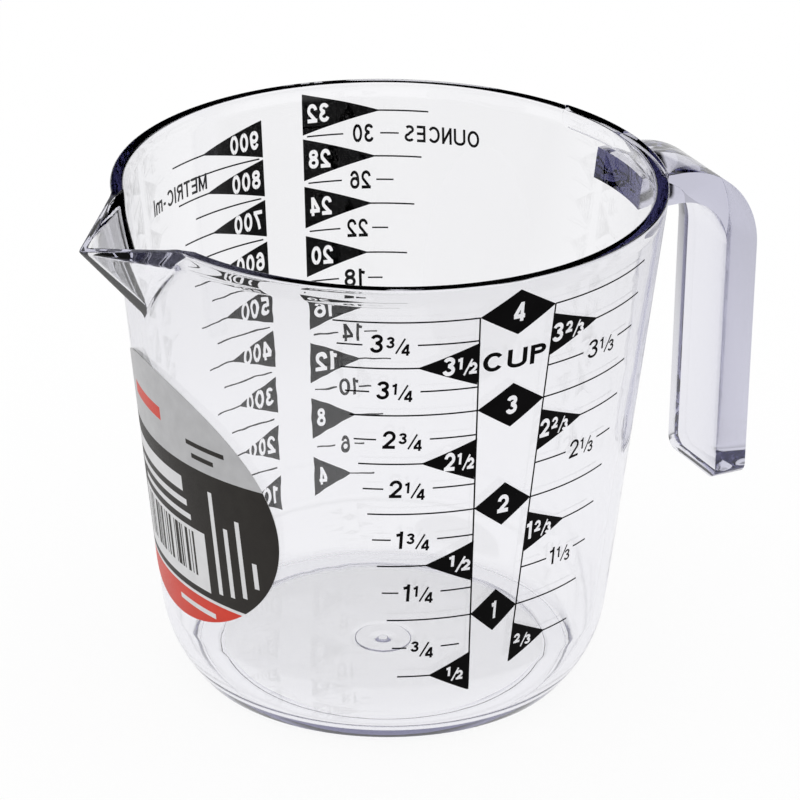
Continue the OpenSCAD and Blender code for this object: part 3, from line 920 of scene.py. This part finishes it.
def oval_part(z0, z1):
    """The part of the oval between two heights."""
    t = np.linspace(0, 1, 48)
    zs = z0 + (z1 - z0) * (1 - np.cos(np.pi * t)) / 2
    zs = np.clip(zs, LABEL_Z - LABEL_HALF_H, LABEL_Z + LABEL_HALF_H)
    half = LABEL_HALF_W * np.sqrt(np.maximum(1 - ((zs - LABEL_Z) / LABEL_HALF_H) ** 2, 0))
    right, left = list(zip(half, zs)), list(zip(-half[::-1], zs[::-1]))
    outline = []
    for place in right + left:
        if not outline or math.dist(place, outline[-1]) > SAME_PLACE:
            outline.append(place)
    if math.dist(outline[0], outline[-1]) < SAME_PLACE:
        outline.pop()
    return outline


def sticker():
    """An oval paper sticker with plain printed fields and bars."""
    low, high = LABEL_Z - LABEL_HALF_H, LABEL_Z + LABEL_HALF_H
    silver, black = oval_part(SILVER_Z, high), oval_part(WHITE_LINE_Z + WHITE_LINE_W / 2, SILVER_Z)
    white_line = oval_part(WHITE_LINE_Z - WHITE_LINE_W / 2, WHITE_LINE_Z + WHITE_LINE_W / 2)
    red = oval_part(low, WHITE_LINE_Z - WHITE_LINE_W / 2)
    panel = box_shape(-PANEL_HALF_W, PANEL_HALF_W, PANEL_Z, PANEL_Z + PANEL_H)
    bars, x, turn = [], -PANEL_HALF_W + 2.4, 0
    while x < PANEL_HALF_W - 2.6:
        width = BAR_WIDTHS[turn % len(BAR_WIDTHS)]
        bars.append(box_shape(x, x + width, PANEL_Z + 3, PANEL_Z + PANEL_H - 1))
        x += width + BAR_WIDTHS[(3 * turn + 2) % (len(BAR_WIDTHS) - 1)]
        turn += 1
    pale_rows = [
        box_shape(-22, 9.5, 56.6, 60.4), box_shape(-16, 10.5, 53.2, 54.8), box_shape(-13, 11.5, 50, 51.4),
        box_shape(18.6, 19.8, 34, 60), box_shape(22.2, 23.4, 34.5, 52),
        box_shape(25.8, 27, 35.5, 55), box_shape(29.4, 30.6, 39, 45.5),
    ]
    red_rows = [box_shape(3, 16.5, 26.6, 27.9)]
    dark_rows = [box_shape(13, 25, 70, 71.2), box_shape(14.5, 21.5, 67, 68.2)]
    red_block = [box_shape(-13, 3, 71.5, 74.7)]
    layer = {"inside": PAPER_T, "outside": PRINT_TOP, "step": 2}
    return {
        "paper": wall_print("sticker_paper", 180, [oval()], outside=PAPER_T, slot="pale_print", step=2),
        "silver": wall_print(
            "label_silver_print", 180, [silver], dark_rows + red_block,
            nodes=["label_silver"], slot="silver_print", **layer,
        ),
        "black": wall_print(
            "label_black_print", 180, [black], [panel, *pale_rows], [*bars, *dark_rows],
            nodes=["label_black"], slot="black_print", **layer,
        ),
        "red": wall_print(
            "label_red_print", 180, [red], red_rows, red_block,
            nodes=["label_red"], slot="red_print", **layer,
        ),
        "pale": wall_print(
            "label_pale_print", 180, [white_line, panel, *pale_rows, *red_rows], bars,
            nodes=["label_white"], slot="pale_print", **layer,
        ),
    }


def make_moulding():
    """The cup's skin and the handle's bar, joined as the one moulding that they are."""
    body = moulding_body()
    fix_normals(body)
    bar = handle_bar()
    fix_normals(bar)
    union = body.modifiers.new("handle", "BOOLEAN")
    union.operation = "UNION"
    union.solver = "MANIFOLD"
    union.object = bar
    apply_modifiers(body)
    bpy.data.objects.remove(bar)
    smooth_shade(body)
    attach(body, "root")
    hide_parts("cup_body", "pour_spout", "handle", "rim_pad")
    return body


def node_material(name):
    """A new material, with its tree, shader and output."""
    material = bpy.data.materials.new(name)
    material.use_nodes = True
    tree = material.node_tree
    return material, tree, tree.nodes["Principled BSDF"], tree.nodes["Material Output"]


def noise(tree, scale, detail=3.0):
    """Noise over the object's own space, in metres."""
    place = tree.nodes.new("ShaderNodeTexCoord")
    texture = tree.nodes.new("ShaderNodeTexNoise")
    texture.inputs["Scale"].default_value = scale
    texture.inputs["Detail"].default_value = detail
    tree.links.new(place.outputs["Object"], texture.inputs["Vector"])
    return texture


def map_range(tree, value, from_min, from_max, to_min, to_max):
    node = tree.nodes.new("ShaderNodeMapRange")
    limits = {"From Min": from_min, "From Max": from_max, "To Min": to_min, "To Max": to_max}
    for name, limit in limits.items():
        node.inputs[name].default_value = limit
    tree.links.new(value, node.inputs["Value"])
    return node.outputs["Result"]


def spread(tree, value, low, high):
    """Noise, which gathers round 0.5, mapped to a range."""
    return map_range(tree, value, 0.3, 0.7, low, high)


def two_tones(tree, value, first, second):
    """A colour between two, by a noise."""
    mix = tree.nodes.new("ShaderNodeMix")
    mix.data_type = "RGBA"
    mix.inputs["A"].default_value = (*first, 1)
    mix.inputs["B"].default_value = (*second, 1)
    tree.links.new(spread(tree, value, 0, 1), mix.inputs["Factor"])
    return mix.outputs["Result"]


def add_bump(tree, shader, height, distance, strength):
    bump = tree.nodes.new("ShaderNodeBump")
    bump.inputs["Distance"].default_value = distance
    bump.inputs["Strength"].default_value = strength
    tree.links.new(height, bump.inputs["Height"])
    tree.links.new(bump.outputs["Normal"], shader.inputs["Normal"])


def clear_plastic():
    """Clear plastic: a faint ripple in its surface, and a violet tint that grows with its depth."""
    material, tree, shader, output = node_material("clear_plastic")
    shader.inputs["Base Color"].default_value = (1, 1, 1, 1)
    shader.inputs["Transmission Weight"].default_value = 1
    shader.inputs["Roughness"].default_value = 0
    shader.inputs["IOR"].default_value = 1.57
    ripple = noise(tree, 90, 2)
    add_bump(tree, shader, ripple.outputs["Fac"], 0.00012, 0.25)
    absorb = tree.nodes.new("ShaderNodeVolumeAbsorption")
    absorb.inputs["Color"].default_value = (0.48, 0.475, 0.64, 1)
    absorb.inputs["Density"].default_value = 40
    tree.links.new(absorb.outputs["Volume"], output.inputs["Volume"])
    return material


def print_material(name, colour, second, roughness, gloss):
    """A printed surface: two close tones in patches, a soft sheen and the faint grain of screen printing."""
    material, tree, shader, _ = node_material(name)
    patches = noise(tree, 260)
    tree.links.new(two_tones(tree, patches.outputs["Fac"], colour, second), shader.inputs["Base Color"])
    grain = noise(tree, 2500, 1)
    rough = spread(tree, grain.outputs["Fac"], roughness - 0.06, roughness + 0.06)
    tree.links.new(rough, shader.inputs["Roughness"])
    shader.inputs["Specular IOR Level"].default_value = gloss
    add_bump(tree, shader, grain.outputs["Fac"], 0.00001, 0.5)
    return material


# Camera, at the photograph's angle
CAMERA_AZIMUTH = -27.0
CAMERA_ELEVATION = 22.305
CAMERA_DISTANCE = 932.1
CAMERA_LENS = 189
CAMERA_PITCH = 25.32
CAMERA_HEADING = 0.202
CAMERA_ROLL = 0.948


def make_camera():
    camera = bpy.data.objects.new("camera", bpy.data.cameras.new("camera"))
    camera.data.lens = CAMERA_LENS
    camera.data.sensor_width = 36
    camera.data.clip_end = 50
    azimuth, elevation = math.radians(CAMERA_AZIMUTH), math.radians(CAMERA_ELEVATION)
    back = Vector((
        math.sin(azimuth) * math.cos(elevation),
        -math.cos(azimuth) * math.cos(elevation),
        math.sin(elevation),
    ))
    camera.location = Vector((0, 0, CUP_H * MM)) + back * CAMERA_DISTANCE * MM
    turn = Euler((math.radians(90 - CAMERA_PITCH), 0, math.radians(CAMERA_AZIMUTH - CAMERA_HEADING)))
    matrix = turn.to_matrix() @ Matrix.Rotation(math.radians(CAMERA_ROLL), 3, "Z")
    camera.rotation_euler = matrix.to_euler()
    bpy.context.scene.collection.objects.link(camera)
    bpy.context.scene.camera = camera


# Light. What the plastic and the prints mirror is darker in two bands of the room and on the far floor.
# A band has the elevations in degrees where it starts, is full, starts to fade and ends.
LIGHT_BOUNCES = 20
BACK_AZIMUTH = math.radians(63)
BACK_BAND = (12, 17, 27, 33)
BACK_FACING = (0, 0.4)
SIDE_AZIMUTH = math.radians(-10)
SIDE_BAND = (-3, 2, 18, 24)
SIDE_FACING = (0.7, 0.9)
FLOOR_R = 3
NEAR_FLOOR = 0.12
FAR_FLOOR = 0.3
FAR_FLOOR_LIGHT = 0.05
BACK_FLOOR_SHARE = 0.25
FLOOR_TURN_W = 0.1
SHADOW_SHARE = 0.1


def maths(tree, operation, a, b=0.0):
    node = tree.nodes.new("ShaderNodeMath")
    node.operation = operation
    for socket, value in zip(node.inputs, (a, b)):
        if isinstance(value, (int, float)):
            socket.default_value = value
        else:
            tree.links.new(value, socket)
    return node.outputs[0]


def reach_toward(tree, vector, azimuth):
    """How far a vector reaches toward an azimuth."""
    dot = tree.nodes.new("ShaderNodeVectorMath")
    dot.operation = "DOT_PRODUCT"
    dot.inputs[1].default_value = (math.cos(azimuth), math.sin(azimuth), 0)
    tree.links.new(vector, dot.inputs[0])
    return dot.outputs["Value"]


def dark_band(tree, direction, azimuth, facing, edges):
    """1 toward an azimuth, between the second and third of four elevations, fading to 0 all round."""
    toward = map_range(tree, reach_toward(tree, direction, azimuth), *facing, 0, 1)
    split = tree.nodes.new("ShaderNodeSeparateXYZ")
    tree.links.new(direction, split.inputs[0])
    a, b, c, d = (math.sin(math.radians(edge)) for edge in edges)
    above = map_range(tree, split.outputs["Z"], a, b, 0, 1)
    below = map_range(tree, split.outputs["Z"], c, d, 1, 0)
    return maths(tree, "MULTIPLY", toward, maths(tree, "MULTIPLY", above, below))


def seen_directly(tree):
    """1 for what the camera sees, also through glass and mirrored. 0 for light that falls on things."""
    paths = tree.nodes.new("ShaderNodeLightPath").outputs
    any_glass = maths(tree, "MAXIMUM", paths["Is Glossy Ray"], paths["Is Transmission Ray"])
    return maths(tree, "MAXIMUM", paths["Is Camera Ray"], any_glass)


def seen_mirrored(tree):
    """1 for what is seen after at least one reflection, else 0."""
    paths = tree.nodes.new("ShaderNodeLightPath").outputs
    return maths(tree, "MINIMUM", paths["Glossy Depth"], 1.0)


def make_world():
    """White all round, apart from the dark bands that only reflections show."""
    world = bpy.data.worlds.new("studio")
    bpy.context.scene.world = world
    world.use_nodes = True
    tree = world.node_tree
    background = tree.nodes["Background"]
    background.inputs["Color"].default_value = (1, 1, 1, 1)
    direction = tree.nodes.new("ShaderNodeTexCoord").outputs["Generated"]
    back = dark_band(tree, direction, BACK_AZIMUTH, BACK_FACING, BACK_BAND)
    side = dark_band(tree, direction, SIDE_AZIMUTH, SIDE_FACING, SIDE_BAND)
    dark = maths(tree, "MULTIPLY", maths(tree, "MAXIMUM", back, side), seen_mirrored(tree))
    tree.links.new(maths(tree, "SUBTRACT", 1.0, dark), background.inputs["Strength"])


def make_floor():
    """A white floor with the object's shadow. Mirrored, it is darker away from the jug, most in front."""
    bpy.ops.mesh.primitive_circle_add(vertices=96, radius=FLOOR_R, fill_type="NGON")
    floor = bpy.context.object
    floor.name = "floor"
    material, tree, shader, output = node_material("floor_paint")
    shader.inputs["Base Color"].default_value = (0.8, 0.8, 0.8, 1)
    shader.inputs["Roughness"].default_value = 0.9
    shader.inputs["Specular IOR Level"].default_value = 0
    shadow = tree.nodes.new("ShaderNodeBsdfDiffuse")
    shadow.inputs["Color"].default_value = (SHADOW_SHARE, SHADOW_SHARE, SHADOW_SHARE, 1)
    glow = tree.nodes.new("ShaderNodeEmission")
    both = tree.nodes.new("ShaderNodeAddShader")
    tree.links.new(shadow.outputs[0], both.inputs[0])
    tree.links.new(glow.outputs[0], both.inputs[1])
    place = tree.nodes.new("ShaderNodeTexCoord").outputs["Object"]
    length = tree.nodes.new("ShaderNodeVectorMath")
    length.operation = "LENGTH"
    tree.links.new(place, length.inputs[0])
    far = map_range(tree, length.outputs["Value"], NEAR_FLOOR, FAR_FLOOR, 0, 1 - FAR_FLOOR_LIGHT)
    behind = reach_toward(tree, place, BACK_AZIMUTH)
    share = map_range(tree, behind, -FLOOR_TURN_W, FLOOR_TURN_W, 1, BACK_FLOOR_SHARE)
    dark = maths(tree, "MULTIPLY", maths(tree, "MULTIPLY", far, share), seen_mirrored(tree))
    light = maths(tree, "MULTIPLY", maths(tree, "SUBTRACT", 1.0, dark), 1 - SHADOW_SHARE)
    tree.links.new(light, glow.inputs["Strength"])
    mix = tree.nodes.new("ShaderNodeMixShader")
    tree.links.new(seen_directly(tree), mix.inputs[0])
    tree.links.new(shader.outputs[0], mix.inputs[1])
    tree.links.new(both.outputs[0], mix.inputs[2])
    tree.links.new(mix.outputs[0], output.inputs["Surface"])
    floor.data.materials.append(material)


def paint(obj, material):
    obj.data.materials.clear()
    obj.data.materials.append(material)


paint(make_moulding(), clear_plastic())
black_ink = print_material("black_ink", (0.0024, 0.0022, 0.0024), (0.0036, 0.0033, 0.0036), 0.5, 0.03)
for piece in cup_scale() + ounce_scale() + metric_scale():
    paint(piece, black_ink)
label = sticker()
for field, name, colour, second, roughness, gloss in (
    ("paper", "sticker_paper", (0.72, 0.72, 0.70), (0.76, 0.76, 0.75), 0.6, 0.2),
    ("silver", "silver_print", (0.44, 0.44, 0.45), (0.50, 0.50, 0.51), 0.38, 0.4),
    ("black", "black_print", (0.022, 0.019, 0.017), (0.027, 0.024, 0.021), 0.45, 0.15),
    ("red", "red_print", (0.62, 0.035, 0.015), (0.68, 0.045, 0.02), 0.4, 0.25),
    ("pale", "pale_print", (0.70, 0.70, 0.71), (0.76, 0.76, 0.77), 0.45, 0.25),
):
    paint(label[field], print_material(name, colour, second, roughness, gloss))
make_camera()
make_world()
make_floor()
cycles = bpy.context.scene.cycles
cycles.max_bounces = cycles.glossy_bounces = cycles.transmission_bounces = LIGHT_BOUNCES

bpy.context.scene.view_settings.view_transform = "Standard"
